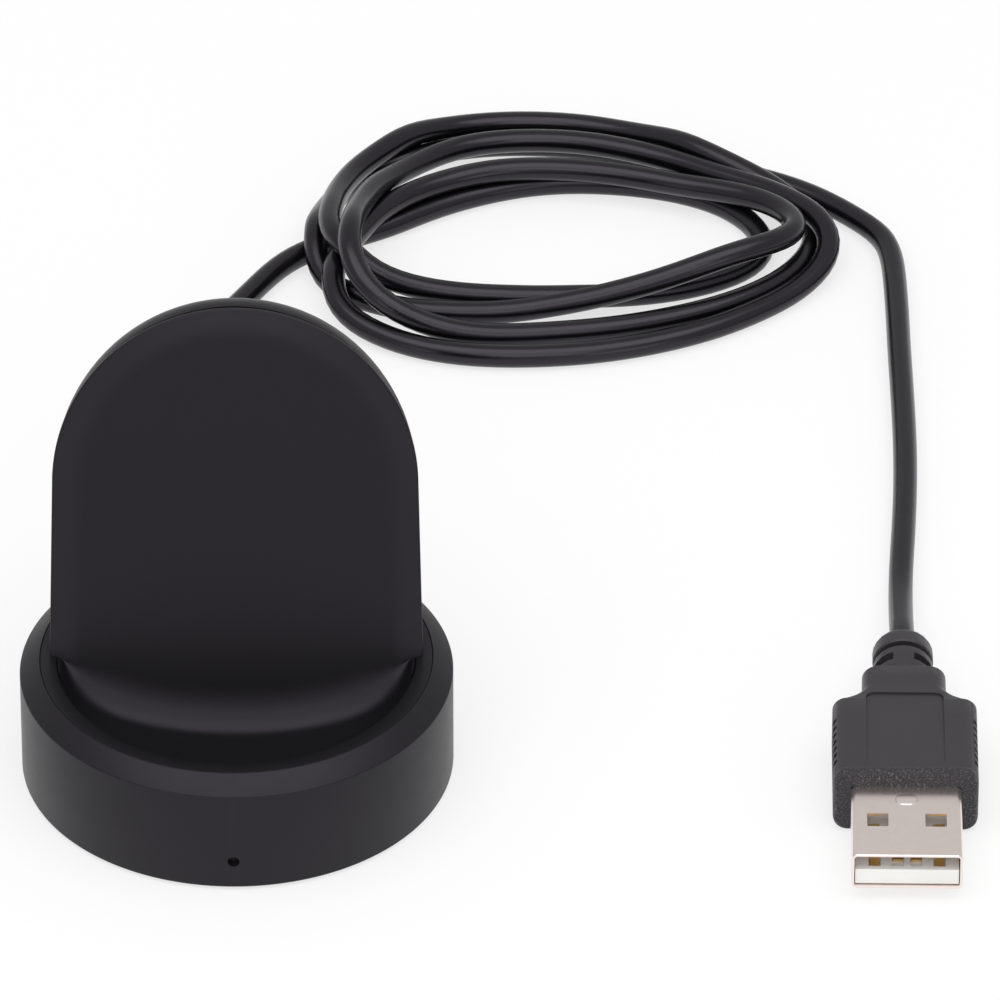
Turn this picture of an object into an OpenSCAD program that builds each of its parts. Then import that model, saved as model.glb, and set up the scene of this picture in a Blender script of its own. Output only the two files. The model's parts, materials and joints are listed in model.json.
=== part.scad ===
// Charging dock for a smartwatch: round base, leaning pad, lead in a loose coil, plug

/* [Base] */
// Outer diameter of the base
base_d = 47.3; // [44:0.1:56]
// Height of the top of the base above the table
base_h = 14.16; // [13:0.1:18]
// Wall of the base
base_wall = 1.8; // [1.4:0.1:2.4]
// Width of the chamfer round the top edge
chamfer_w = 2.23; // [1.2:0.05:2.4]
// Height of the chamfer round the top edge
chamfer_h = 1.71; // [0.8:0.05:2]
// Width of the flat ledge between the chamfer and the trough
ledge_w = 1.92; // [1.5:0.05:2.4]
// Height of the trough floor above the table
trough_floor = 7; // [6.8:0.1:8.5]
// Wall of the trough
trough_wall = 1.4; // [1:0.1:1.6]
// Radius of the hollow curve between the trough floor and the pad
sweep_r = 4.5; // [3:0.5:11]

/* [Pad] */
// Lean of the pad from upright, in degrees
lean = 18; // [12:1:20]
// Distance from the outside of the base in to the side of the pad, where the two meet
foot_inset = 3.29; // [3.1:0.01:4.2]
// How much further in the side of the pad is at its rounded top than at its foot
flare = 0.46; // [0:0.02:1.4]
// Height along the pad to the centre of its rounded top, as a share of the base's diameter
arch_share = 0.409; // [0.32:0.001:0.5]
// Distance from the base axis to the parting line, at ledge level
part_y = 0.6; // [0:0.1:2]
// Thickness of the thin rim round the pad
rim_t = 0.45; // [0.3:0.05:1]
// Width of the soft bevel round the pad
bevel_w = 3; // [1.5:0.1:4]
// Depth of the soft bevel round the pad
bevel_t = 0.7; // [0.3:0.05:1]
// Wall of the rear shell and of the plate behind the parting line
shell_wall = 1.5; // [1.2:0.1:2]
// Step in from the pad rim to the rear shell
shell_step = 0.4; // [0.1:0.05:0.8]
// Depth of the forward curve at the top of the rear shell, as a share of the pad's half width
crown_share = 0.53; // [0.4:0.01:0.75]

/* [Feet and cover] */
// Thickness of the rubber foot pad
foot_t = 0.8; // [0.5:0.1:1.2]
// Thickness of the bottom cover
cover_t = 1.4; // [1.2:0.1:2]
// Gap between the base wall and the table
base_lift = 0.3; // [0.1:0.05:0.6]
// Diameter of the cover screws
screw_d = 2; // [1.6:0.1:2.4]
// Diameter of the screw heads
screw_head_d = 3.6; // [3:0.1:4]

/* [Electronics] */
// Thickness of the circuit board
board_t = 0.8; // [0.6:0.1:1]
// Gap between the circuit board and the base wall
board_gap = 2.45; // [1.9:0.05:3.8]
// Share of the pad's width that the charging coil takes up
coil_share = 0.603; // [0.5:0.001:0.65]
// Thickness of the charging coil
coil_t = 1; // [0.6:0.1:1.4]
// Hole in the middle of the charging coil
coil_hole = 11; // [10:0.5:14]
// Thickness of the ferrite plate
ferrite_t = 0.8; // [0.5:0.1:1.2]
// Diameter of the alignment magnet
magnet_d = 9; // [6:0.5:9.5]
// Thickness of the floor of the coil bracket
bracket_t = 1.2; // [0.8:0.1:2]
// Height of the status light above the table
light_z = 3.82; // [3.7:0.02:4]
// Diameter of the status light opening
light_d = 1.3; // [1:0.1:1.5]

/* [Cord and plug] */
// Diameter of the cord
cord_d = 2.75; // [2.4:0.05:3]
// Diameter of the hole for the strain relief
relief_hole_d = 5.2; // [4.8:0.1:6]
// Height of the middle of the strain relief above the table
relief_z = 5.2; // [5:0.1:6]
// Length of the strain relief outside the base
relief_len = 9; // [7:0.5:12]
// Width of the metal plug shell
shell_w = 12; // [11.8:0.1:12.2]
// Height of the metal plug shell
shell_h = 4.5; // [4.4:0.1:4.7]
// Length of the metal plug shell outside the plug body
shell_len = 11.6; // [11:0.1:12.5]
// Sheet thickness of the metal plug shell
shell_t = 0.3; // [0.3:0.05:0.4]
// Width of the plug body
body_w = 15.8; // [15:0.1:17]
// Thickness of the plug body
body_t = 7.7; // [7:0.1:9]
// Length of the wide part of the plug body
body_len = 14.2; // [12:0.1:18]
// Width of the narrow part of the plug body
waist_w = 9.2; // [8:0.1:11]
// Diameter of the round neck of the plug body
neck_d = 6.7; // [6:0.1:7]

/* [Hidden] */
$fn = 96;

// Clearances
fit_gap = 0.1;
screw_gap = 0.05;
cord_gap = 0.2;
lip_gap = 1.1;
cut_over = 1;

// Base heights and radii
base_r = base_d / 2;
base_in_r = base_r - base_wall;
ledge_r = base_r - chamfer_w;
trough_r = ledge_r - ledge_w;
ledge_z = base_h - fit_gap;
ledge_t = 1.5;
shelf_t = 1;
shelf_w = 1.1;
trough_out_r = base_in_r - shelf_w - fit_gap;
cover_z = foot_t;
cover_top = cover_z + cover_t;
cover_r = base_in_r - fit_gap;
foot_rim = 0.6;
foot_r = cover_r - foot_rim;
board_r = base_in_r - board_gap;
board_lift = 0.4;
board_z = cover_top + board_lift;
board_top = board_z + board_t;

// Screw posts under the cradle, as radius and angle from +X
post_r = 2.2;
post_inset = 4.85;
post_ring_r = base_in_r - post_inset;
post_angles = [40, 140, 235, 305];
boss_r = 1.6;
boss_inset = 3;
boss_angles = [0, 90, 180];
screw_len = 5.5;
head_depth = 0.9;

// Frame of the leaning pad: x across, h up the slope, n out of the front face
foot_half = base_r - foot_inset;
arch_r = foot_half - flare;
arch_up = base_d * arch_share;
pad_foot_z = ledge_z;
pad_sink = 0.8;
pad_face = rim_t + bevel_t;
crown_h = arch_up + arch_r;
crown_y = part_y + crown_h * sin(lean);
crown_top = pad_foot_z + crown_h * cos(lean);
crown_z = crown_top - arch_r * crown_share;

// Stack behind the pad, measured back from the parting plane
coil_d = 2 * arch_r * coil_share;
coil_drop = 2.85;
coil_mid_h = arch_up - coil_drop;
plate_back = 1.1;
stack_gap = 0.05;
ferrite_over = 1;
coil_seat = plate_back + stack_gap;
ferrite_seat = coil_seat + coil_t + stack_gap;
bracket_seat = ferrite_seat + ferrite_t + stack_gap;
bracket_wall = 0.8;
bracket_pocket_r = coil_d / 2 + ferrite_over + fit_gap;
bracket_post_gap = 2.3;
bracket_post_r = bracket_pocket_r + bracket_post_gap;
bracket_angles = [90, 215, 325];
bracket_screw_d = 1.6;
bracket_screw_head = 2.8;
bracket_ear_r = 1.9;

// Plug place: middle of the mouth of the body, pointing to -Y
plug_x = 72.8;
plug_y = -13.9;
plug_turn = -0.9;
plug_mid = body_t / 2;
shoulder_len = 2;
seat_deep = 4;
waist_len = 4.6;
waist_t = 7;
neck_len = 7.2;
neck_end = body_len + shoulder_len + waist_len + neck_len;

// Route of the lead, from the strain relief to the coil, as x, y, z of the cord's middle
lead_start = base_r + relief_len;
lead_z = relief_z - 1.4;
lead_route = [
    [0, lead_start, lead_z], [-0.4, 36, 2.6], [-1.4, 40, 1.8], [-2.6, 45, 1.45], [-4, 52, 1.4],
    [-5.2, 60, 1.4], [-5.7, 68, 1.4], [-5.4, 76, 1.4], [-4, 83, 1.4], [-1.4, 88.2, 1.4],
    [1.8, 91.8, 1.4], [5, 95, 1.4]
];
// Route of the tail, from the coil to the neck of the plug
tail_route = [
    [66.6, 109, 1.4], [69.2, 107.3, 1.4], [71.3, 105, 1.4], [72.8, 102, 1.4], [74, 96.8, 1.4],
    [74.5, 91, 1.4], [74.6, 85, 1.4],
    [74.7, 78, 1.4], [74.8, 68, 1.4], [74.8, 58, 1.4], [74.6, 50, 1.4], [74.2, 42, 1.4],
    [73.7, 34, 1.5], [73.45, 28, 1.8], [73.35, 23, 2.6], [73.3, 18.5, 3.5], [73.25, 14.6, 3.85]
];
tube_sides = 8;

// Outer shape of the loose coil on the table
coil_mid = [37, 98.6];
coil_half = [32.6, 24.6];
coil_open = [20, 9];
coil_power = 2.4;
coil_steps = 48;
coil_high = 11;

// Where the lead goes into the coil and the tail comes out, and the way each points
lead_end = lead_route[len(lead_route) - 1];
lead_before = lead_route[len(lead_route) - 2];
tail_start = tail_route[0];
tail_next = tail_route[1];

// Places a child in the pad's own frame: x across, y up the slope, z out of the front
module on_pad() {
    translate([0, part_y, pad_foot_z]) rotate([90 - lean, 0, 0]) children();
}

// Places a child at a radius and an angle round the base axis
module at_ring(r, a) {
    rotate([0, 0, a]) translate([r, 0, 0]) children();
}

// Outline of the pad: straight flared sides under a round top
module pad_outline(inset) {
    circle_r = arch_r - inset;
    translate([0, arch_up]) circle(r = circle_r);
    polygon([
        [-(foot_half - inset), -pad_sink], [foot_half - inset, -pad_sink],
        [circle_r, arch_up], [-circle_r, arch_up]
    ]);
}

// Soft bevel of the pad: a cone round the top and a four sided block under it
module pad_bevel() {
    low = rim_t;
    top = rim_t + bevel_t;
    translate([0, arch_up, low])
        cylinder(h = bevel_t, r1 = arch_r, r2 = arch_r - bevel_w);
    polyhedron(
        points = [
            [-foot_half, -pad_sink, low], [foot_half, -pad_sink, low],
            [arch_r, arch_up, low], [-arch_r, arch_up, low],
            [-(foot_half - bevel_w), -pad_sink, top], [foot_half - bevel_w, -pad_sink, top],
            [arch_r - bevel_w, arch_up, top], [-(arch_r - bevel_w), arch_up, top]
        ],
        faces = [[0, 1, 2, 3], [7, 6, 5, 4], [4, 5, 1, 0], [5, 6, 2, 1], [6, 7, 3, 2], [7, 4, 0, 3]]
    );
}

// Side profile of the trough: floor, hollow curve and pad face, as y and z
face_y = part_y - pad_face / cos(lean);
corner_y = face_y - (pad_foot_z - trough_floor) * tan(lean);
sweep_turn = 90 - lean;
sweep_reach = sweep_r * tan(sweep_turn / 2);
sweep_mid = [corner_y - sweep_reach, trough_floor + sweep_r];
sweep_steps = 18;
function sweep_point(r, i) =
    let(a = -90 + sweep_turn * i / sweep_steps)
    [sweep_mid[0] + r * cos(a), sweep_mid[1] + r * sin(a)];
function slope_point(out, z) = [
    face_y + out / cos(lean) + (z - pad_foot_z) * tan(lean), z
];
strip_up = 6;
strip_top = pad_foot_z + strip_up;

// The moulded sheet that makes the trough floor and runs up into the pad
module trough_section() {
    polygon(concat(
        [[-base_r, trough_floor]],
        [for (i = [0:sweep_steps]) sweep_point(sweep_r, i)],
        [slope_point(0, strip_top), slope_point(pad_face + plate_back, strip_top)],
        [for (i = [sweep_steps:-1:0]) sweep_point(sweep_r + trough_wall, i)],
        [[-base_r, trough_floor - trough_wall]]
    ));
}

// Everything in front of the back face of the pad plate
module front_space() {
    translate([0, part_y, pad_foot_z]) rotate([90 - lean, 0, 0])
        translate([-base_d, -base_d, -plate_back])
            cube([2 * base_d, 2 * base_d, base_d]);
}

module base_ring() {
    shelf_z = ledge_z - ledge_t - shelf_t;
    color([0.17, 0.165, 0.175])
    difference() {
        rotate_extrude() polygon([
            [base_in_r, base_lift], [base_r, base_lift],
            [base_r, base_h - chamfer_h], [ledge_r, base_h],
            [ledge_r, shelf_z + shelf_t], [base_in_r - shelf_w, shelf_z + shelf_t],
            [base_in_r - shelf_w, shelf_z], [base_in_r, shelf_z - shelf_w]
        ]);
        translate([0, -base_in_r + cut_over, light_z]) rotate([90, 0, 0])
            cylinder(h = base_wall + 2 * cut_over, d = light_d, $fn = 32);
        translate([0, base_in_r - cut_over, relief_z]) rotate([-90, 0, 0])
            cylinder(h = base_wall + 2 * cut_over, d = relief_hole_d, $fn = 48);
    }
}

// Ring that carries the cradle on the shelf of the base
module cradle_ledge() {
    ring_out = ledge_r - fit_gap;
    translate([0, 0, ledge_z - ledge_t]) difference() {
        cylinder(h = ledge_t, r = ring_out);
        translate([0, 0, -cut_over]) cylinder(h = ledge_t + 2 * cut_over, r = trough_r);
    }
}

// Bowl in front of the pad
module cradle_trough() {
    wall_z = trough_floor - trough_wall;
    intersection() {
        front_space();
        translate([0, 0, wall_z]) difference() {
            cylinder(h = ledge_z - wall_z, r = trough_out_r);
            translate([0, 0, -cut_over])
                cylinder(h = ledge_z - wall_z + 2 * cut_over, r = trough_r);
        }
    }
    intersection() {
        translate([0, 0, wall_z]) cylinder(h = strip_top - wall_z, r = trough_r + cut_over / 2);
        rotate([90, 0, 90]) translate([0, 0, -base_r])
            linear_extrude(2 * base_r) trough_section();
        translate([0, 0, -base_h]) cylinder(h = base_h + ledge_z, r = base_r);
    }
}

// How far the dish of the trough floor runs past the trough's two ends, and under its floor
dish_over = 0.1;
dish_under = 0.15;
dish_steps = 24;
function dish_point(i) = let(a = 180 * i / dish_steps) [
    -(trough_r + dish_over) * cos(a),
    ledge_z - (ledge_z - trough_floor + dish_under) * sin(a)
];

// Rise of the trough floor to its two ends
module trough_dish() {
    low = trough_floor - trough_wall / 2;
    deep = low - cut_over;
    inside = (pad_face + plate_back) / 2;
    intersection() {
        translate([0, 0, low]) cylinder(h = ledge_z - low, r = trough_r + cut_over / 2);
        rotate([90, 0, 0]) linear_extrude(2 * base_r, center = true) polygon(concat(
            [[-trough_r - dish_over, deep]],
            [for (i = [0:dish_steps]) dish_point(i)],
            [[trough_r + dish_over, deep]]
        ));
        rotate([90, 0, 90]) translate([0, 0, -base_r]) linear_extrude(2 * base_r) polygon([
            [-base_r, deep], slope_point(inside, deep),
            slope_point(inside, ledge_z + cut_over), [-base_r, ledge_z + cut_over]
        ]);
    }
}

module cradle_posts() {
    for (a = post_angles) {
        top = a > 180 ? trough_floor - trough_wall / 2 : ledge_z - ledge_t / 2;
        at_ring(post_ring_r, a) translate([0, 0, cover_top])
            cylinder(h = top - cover_top, r = post_r, $fn = 40);
    }
    // Webs from the two rear posts out to the ring
    for (a = [post_angles[0], post_angles[1]])
        rotate([0, 0, a]) translate([post_ring_r, -post_r / 2, ledge_z - 2 * ledge_t])
            cube([trough_r - post_ring_r + ledge_w / 2, post_r, 2 * ledge_t]);
}

module bracket_posts() {
    for (a = bracket_angles)
        translate([0, coil_mid_h, 0]) rotate([0, 0, a]) translate([bracket_post_r, 0, -bracket_seat])
            cylinder(h = bracket_seat - plate_back / 2, r = bracket_ear_r, $fn = 32);
}

module cradle_front() {
    lip_in = shell_step + shell_wall + lip_gap;
    color([0.165, 0.16, 0.17])
    difference() {
        union() {
            cradle_ledge();
            cradle_trough();
            trough_dish();
            cradle_posts();
            on_pad() {
                linear_extrude(rim_t) pad_outline(0);
                pad_bevel();
                translate([0, 0, -plate_back]) linear_extrude(plate_back) pad_outline(lip_in);
                bracket_posts();
            }
        }
        for (a = post_angles)
            at_ring(post_ring_r, a) translate([0, 0, cover_top - cut_over])
                cylinder(h = screw_len - head_depth + cut_over, d = screw_d + 2 * screw_gap, $fn = 32);
        for (a = bracket_angles)
            on_pad() translate([0, coil_mid_h, 0]) rotate([0, 0, a])
                translate([bracket_post_r, 0, -bracket_seat - cut_over])
                    cylinder(h = bracket_seat - plate_back + cut_over,
                        d = bracket_screw_d + 2 * screw_gap, $fn = 24);
    }
}

// Rear shell, as level rings that run from one side of the parting line round the back to the other
shell_rows = 18;
shell_cols = 36;
function pad_half(h) =
    h <= arch_up ? foot_half + (arch_r - foot_half) * h / arch_up
    : sqrt(max(0, arch_r * arch_r - (h - arch_up) * (h - arch_up)));
function rear_y(z, top, back) =
    z <= crown_z ? back
    : crown_y + (back - crown_y) * sqrt(max(0, 1 - pow((z - crown_z) / (top - crown_z), 2)));
function shell_ring(z, inset, top) =
    let(
        h = (z - pad_foot_z) / cos(lean),
        front = part_y + h * sin(lean),
        half = max(0.1, pad_half(h + inset * h / crown_h) - inset),
        back = foot_half - (inset - shell_step),
        depth = max(0.1, rear_y(z, top, back) - front)
    )
    [for (j = [0:shell_cols]) let(a = 180 * j / shell_cols) [half * cos(a), front + depth * sin(a), z]];
function shell_rows_at(inset, top) = [
    for (i = [0:shell_rows - 1])
        shell_ring(pad_foot_z + (top - pad_foot_z) * sin(90 * i / shell_rows), inset, top)
];
function row_face(i, j, base, flip) =
    let(
        a = base + i * (shell_cols + 1) + j,
        b = a + 1,
        c = b + shell_cols + 1,
        d = a + shell_cols + 1
    )
    flip ? [d, c, b, a] : [a, b, c, d];

module cradle_back() {
    inner_inset = shell_step + shell_wall;
    top_out = crown_top - shell_step;
    top_in = crown_top - inner_inset;
    outer = shell_rows_at(shell_step, top_out);
    inner = shell_rows_at(inner_inset, top_in);
    row = shell_cols + 1;
    count = shell_rows * row;
    last = (shell_rows - 1) * row;
    out_tip = 2 * count;
    in_tip = out_tip + 1;
    tip_out = [0, part_y + (top_out - pad_foot_z) * tan(lean), top_out];
    tip_in = [0, part_y + (top_in - pad_foot_z) * tan(lean), top_in];
    points = concat(
        [for (r = outer) for (p = r) p], [for (r = inner) for (p = r) p], [tip_out, tip_in]
    );
    skin = [for (i = [0:shell_rows - 2]) for (j = [0:shell_cols - 1]) row_face(i, j, 0, true)];
    lining = [for (i = [0:shell_rows - 2]) for (j = [0:shell_cols - 1]) row_face(i, j, count, false)];
    cap = [for (j = [0:shell_cols - 1]) [out_tip, last + j + 1, last + j]];
    cap_in = [for (j = [0:shell_cols - 1]) [count + last + j, count + last + j + 1, in_tip]];
    sole = [for (j = [0:shell_cols - 1]) [j, j + 1, count + j + 1, count + j]];
    right_rim = [for (i = [0:shell_rows - 2])
        [i * row, count + i * row, count + (i + 1) * row, (i + 1) * row]];
    left_rim = [for (i = [0:shell_rows - 2]) let(e = i * row + shell_cols)
        [e + row, count + e + row, count + e, e]];
    tips = [
        [last, count + last, in_tip, out_tip],
        [out_tip, in_tip, count + last + shell_cols, last + shell_cols]
    ];
    color([0.18, 0.175, 0.185])
        polyhedron(
            points = points,
            faces = concat(skin, lining, cap, cap_in, sole, right_rim, left_rim, tips),
            convexity = 6
        );
}

module base_cover() {
    color([0.2, 0.2, 0.21])
    difference() {
        union() {
            translate([0, 0, cover_z]) cylinder(h = cover_t, r = cover_r);
            for (a = boss_angles)
                at_ring(post_ring_r - boss_inset, a) translate([0, 0, cover_top])
                    cylinder(h = board_lift, r = boss_r, $fn = 32);
        }
        for (a = post_angles) at_ring(post_ring_r, a) {
            translate([0, 0, cover_z - cut_over])
                cylinder(h = head_depth + screw_gap + cut_over, d = screw_head_d + 4 * screw_gap, $fn = 32);
            translate([0, 0, cover_z])
                cylinder(h = cover_t + cut_over, d = screw_d + 4 * screw_gap, $fn = 32);
        }
    }
}

module cover_screws() {
    drive_d = 1.4;
    color([0.62, 0.62, 0.64])
    for (a = post_angles) at_ring(post_ring_r, a) difference() {
        union() {
            translate([0, 0, cover_z]) cylinder(h = head_depth, d = screw_head_d, $fn = 32);
            translate([0, 0, cover_z]) cylinder(h = screw_len, d = screw_d, $fn = 32);
        }
        translate([0, 0, cover_z - cut_over])
            cylinder(h = cut_over + head_depth / 2, d = drive_d, $fn = 6);
    }
}

module foot_pad() {
    color([0.1, 0.1, 0.1]) cylinder(h = foot_t, r = foot_r);
}

// Little light on the front edge of the board, and the clear rod that carries it to the wall
led_len = 1.2;
led_w = 1.8;
led_y = -board_r;
pipe_recess = 0.9;
module status_led() {
    color([0.95, 0.95, 0.85])
        translate([-led_w / 2, led_y, board_top]) cube([led_w, led_len, 2 * (light_z - board_top)]);
}

module light_pipe() {
    pipe_d = light_d - 2 * screw_gap;
    pipe_start = -led_y + screw_gap;
    collar_t = 0.5;
    collar_over = 0.25;
    translate([0, 0, light_z]) rotate([90, 0, 0]) color([0.85, 0.87, 0.9]) {
        translate([0, 0, pipe_start])
            cylinder(h = base_r - pipe_recess - pipe_start, d = pipe_d, $fn = 32);
        // Collar that stops it against the inside of the wall
        translate([0, 0, base_in_r - screw_gap - collar_t])
            cylinder(h = collar_t, r = pipe_d / 2 + collar_over, $fn = 32);
    }
}

module circuit_board() {
    color([0.05, 0.32, 0.18])
    difference() {
        translate([0, 0, board_z]) cylinder(h = board_t, r = board_r);
        for (a = post_angles) at_ring(post_ring_r, a) translate([0, 0, board_z - cut_over])
            cylinder(h = board_t + 2 * cut_over, r = post_r + fit_gap, $fn = 40);
    }
}

// Places of the parts on the board, as shares of its radius across and away
chip_at = [-0.36, -0.31];
chip_size = [5, 5, 0.9];
transistor_at = [[0.155, -0.31], [0.465, -0.31]];
transistor_size = [3.3, 3.3, 1];
capacitor_at = [for (i = [0:3]) [-0.077 + 0.175 * i, 0]];
capacitor_size = [1.6, 3.2, 1.6];
inductor_at = [0.28, 0.464];
inductor_size = [6, 6, 3.4];
small_at = concat(
    [for (i = [0:4]) [-0.62 + 0.1 * i, 0.05]],
    [for (i = [0:3]) [-0.65 + 0.1 * i, 0.26]],
    [for (i = [0:2]) [-0.2 + 0.1 * i, -0.62]]
);
small_size = [0.8, 1.6, 0.5];

// A flat packaged part standing on the board
module on_board(at, size) {
    translate([at[0] * board_r - size[0] / 2, at[1] * board_r - size[1] / 2, board_top]) cube(size);
}

module controller_chip() {
    color([0.08, 0.08, 0.08]) on_board(chip_at, chip_size);
}

module drive_transistors() {
    color([0.1, 0.1, 0.11]) for (at = transistor_at) on_board(at, transistor_size);
}

module resonant_capacitors() {
    color([0.75, 0.6, 0.42]) for (at = capacitor_at) on_board(at, capacitor_size);
}

module filter_inductor() {
    ring_out = inductor_size[0] / 2 - 0.5;
    ring_w = 0.7;
    ring_deep = 0.4;
    color([0.22, 0.22, 0.23])
    difference() {
        on_board(inductor_at, inductor_size);
        // Ring round the core, as a shallow groove in the top
        translate([inductor_at[0] * board_r, inductor_at[1] * board_r, board_top + inductor_size[2]])
            difference() {
                translate([0, 0, -ring_deep]) cylinder(h = cut_over, r = ring_out, $fn = 48);
                translate([0, 0, -cut_over])
                    cylinder(h = 3 * cut_over, r = ring_out - ring_w, $fn = 48);
            }
    }
}

module small_parts() {
    color([0.72, 0.65, 0.5]) for (at = small_at) on_board(at, small_size);
}

// Places a child behind the pad, in the middle of the coil, that far behind the parting plane
module behind_pad(back) {
    on_pad() translate([0, coil_mid_h, -back]) children();
}

module charging_coil() {
    turns = 9;
    groove = 0.18;
    pitch = (coil_d - coil_hole) / 2 / turns;
    color([0.72, 0.42, 0.2])
    behind_pad(coil_seat + coil_t) difference() {
        cylinder(h = coil_t, d = coil_d);
        translate([0, 0, -cut_over]) cylinder(h = coil_t + 2 * cut_over, d = coil_hole);
        for (i = [1:turns - 1]) translate([0, 0, coil_t - groove]) difference() {
            cylinder(h = cut_over, r = coil_hole / 2 + pitch * i + groove / 2);
            translate([0, 0, -cut_over])
                cylinder(h = 3 * cut_over, r = coil_hole / 2 + pitch * i - groove / 2);
        }
    }
}

module ferrite_plate() {
    color([0.15, 0.15, 0.16])
    behind_pad(ferrite_seat + ferrite_t) cylinder(h = ferrite_t, r = coil_d / 2 + ferrite_over);
}

module alignment_magnet() {
    color([0.75, 0.75, 0.77])
    behind_pad(coil_seat + coil_t) cylinder(h = coil_t, d = magnet_d);
}

module coil_bracket() {
    pocket = bracket_seat - coil_seat - stack_gap;
    color([0.85, 0.84, 0.8])
    behind_pad(bracket_seat + bracket_t) difference() {
        union() {
            cylinder(h = bracket_t + pocket, r = bracket_pocket_r + bracket_wall);
            for (a = bracket_angles) rotate([0, 0, a]) translate([bracket_post_r, 0, 0])
                cylinder(h = bracket_t, r = bracket_ear_r, $fn = 32);
        }
        translate([0, 0, bracket_t]) cylinder(h = pocket + cut_over, r = bracket_pocket_r);
        translate([0, 0, -cut_over]) cylinder(h = bracket_t + 2 * cut_over, d = coil_hole);
        for (a = bracket_angles) rotate([0, 0, a]) {
            translate([bracket_post_r, 0, -cut_over])
                cylinder(h = bracket_t + 2 * cut_over, d = bracket_screw_d + 4 * screw_gap, $fn = 24);
            translate([bracket_post_r, 0, bracket_t])
                cylinder(h = pocket + cut_over, r = bracket_ear_r + fit_gap, $fn = 32);
        }
    }
}

module bracket_screws() {
    head = 1;
    tip_gap = 0.3;
    shank = bracket_t + bracket_seat - plate_back - tip_gap;
    color([0.62, 0.62, 0.64])
    behind_pad(bracket_seat + bracket_t) for (a = bracket_angles)
        rotate([0, 0, a]) translate([bracket_post_r, 0, 0]) {
            translate([0, 0, -head]) cylinder(h = head, d = bracket_screw_head, $fn = 24);
            translate([0, 0, -head / 2])
                cylinder(h = shank + head / 2, d = bracket_screw_d, $fn = 24);
        }
}

// Tube swept along a route: each point carries a ring square to the way the route goes there
function unit(v) = v / norm(v);
function way(route, i) = unit(route[min(i + 1, len(route) - 1)] - route[max(i - 1, 0)]);
function ring_at(route, i, r, sides) =
    let(
        t = way(route, i),
        side = unit(cross(t, abs(t[2]) > 0.9 ? [1, 0, 0] : [0, 0, 1])),
        up = cross(side, t)
    )
    [for (k = [0:sides - 1]) let(a = 360 * (k + 0.5) / sides)
        route[i] + r * cos(a) * side + r * sin(a) * up];
module tube(route, r, sides) {
    n = len(route);
    points = [for (i = [0:n - 1]) for (p = ring_at(route, i, r, sides)) p];
    walls = [for (i = [0:n - 2]) for (k = [0:sides - 1])
        let(a = i * sides + k, b = i * sides + (k + 1) % sides)
        [a, b, b + sides, a + sides]];
    start = [[for (k = [sides - 1:-1:0]) k]];
    finish = [[for (k = [0:sides - 1]) (n - 1) * sides + k]];
    polyhedron(points = points, faces = concat(start, walls, finish), convexity = 6);
}

// A smooth route through chosen points, with that many rings from each point to the next
function blend_point(a, b, c, d, t) = 0.5 * (
    2 * b + (c - a) * t + (2 * a - 5 * b + 4 * c - d) * t * t + (3 * b - a - 3 * c + d) * t * t * t
);
function smooth_route(route, steps) = let(last = len(route) - 1) concat(
    [for (i = [0:last - 1]) for (s = [0:steps - 1])
        blend_point(
            route[max(i - 1, 0)], route[i], route[i + 1], route[min(i + 2, last)], s / steps
        )],
    [route[last]]
);

// Wires: from the hole of the coil bracket down to the board
wire_r = 0.45;
wire_x = [-1.6, 1.6];
wire_drop = (coil_mid_h - coil_hole / 2) * cos(lean) + 1;
wire_from = [0, part_y + coil_mid_h * sin(lean) + 3.6, pad_foot_z + wire_drop];
wire_steps = [[0, 2.2, -2], [0, 3, -8]];
wire_side = [1, 3];
wire_back = [0.3, 3.7, 3.9];
wire_end = [2, 0.15];
module coil_leads() {
    color([0.7, 0.35, 0.15])
    for (x = wire_x)
        tube(smooth_route([
            wire_from + [x, 0, 0],
            wire_from + wire_steps[0] + [x, 0, 0],
            wire_from + wire_steps[1] + [x, 0, 0],
            [x - wire_side[0], wire_from[1] - wire_back[0], pad_foot_z - wire_end[0]],
            [x - wire_side[1], wire_from[1] - wire_back[1], (pad_foot_z + board_top) / 2 - wire_end[0]],
            [x - wire_side[1], wire_from[1] - wire_back[2], board_top + wire_end[0]],
            [x - wire_side[1], wire_from[1] - wire_back[2], board_top + wire_end[1]]
        ], 3), wire_r, tube_sides);
}

// Strain relief: flange inside the wall, plug through it, collar outside, drooping ribbed sleeve
flange_t = 1.2;
flange_gap = 0.5;
flange_over = 0.35;
collar_t = 1;
collar_over = 0.3;
sleeve_droop = 9;
sleeve_root_d = relief_hole_d - 0.6;
sleeve_tip_d = cord_d + 1.2;
sleeve_sink = 0.6;
rib_count = 5;
rib_w = 0.7;
rib_pitch = 1.5;
rib_over = 0.15;
wire_bore = 0.9;

// Places a child on the axis of the strain relief, that far from the base axis, pointing back
module on_relief(away) {
    translate([0, away, relief_z]) rotate([-90, 0, 0]) children();
}

module cable_grommet() {
    inside = base_in_r - flange_t - flange_gap;
    color([0.15, 0.15, 0.155])
    difference() {
        union() {
            on_relief(inside) cylinder(h = flange_t, r = relief_hole_d / 2 + flange_over, $fn = 48);
            on_relief(inside)
                cylinder(h = base_r + collar_t / 2 - inside, d = relief_hole_d - 2 * screw_gap, $fn = 48);
            on_relief(base_r) cylinder(h = collar_t, r = relief_hole_d / 2 + collar_over, $fn = 48);
        }
        on_relief(inside - cut_over) cylinder(h = wire_bore + cut_over, d = cord_d, $fn = 32);
    }
    color([0.15, 0.15, 0.155])
    translate([0, base_r + collar_t, relief_z]) rotate([-sleeve_droop - 90, 0, 0]) {
        translate([0, 0, -sleeve_sink])
            cylinder(h = relief_len - sleeve_sink, d1 = sleeve_root_d, d2 = sleeve_tip_d, $fn = 40);
        for (i = [0:rib_count - 1]) translate([0, 0, sleeve_sink + rib_pitch * i])
            cylinder(h = rib_w, r = relief_hole_d / 2 + rib_over * (1 - i), $fn = 40);
    }
}

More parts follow.
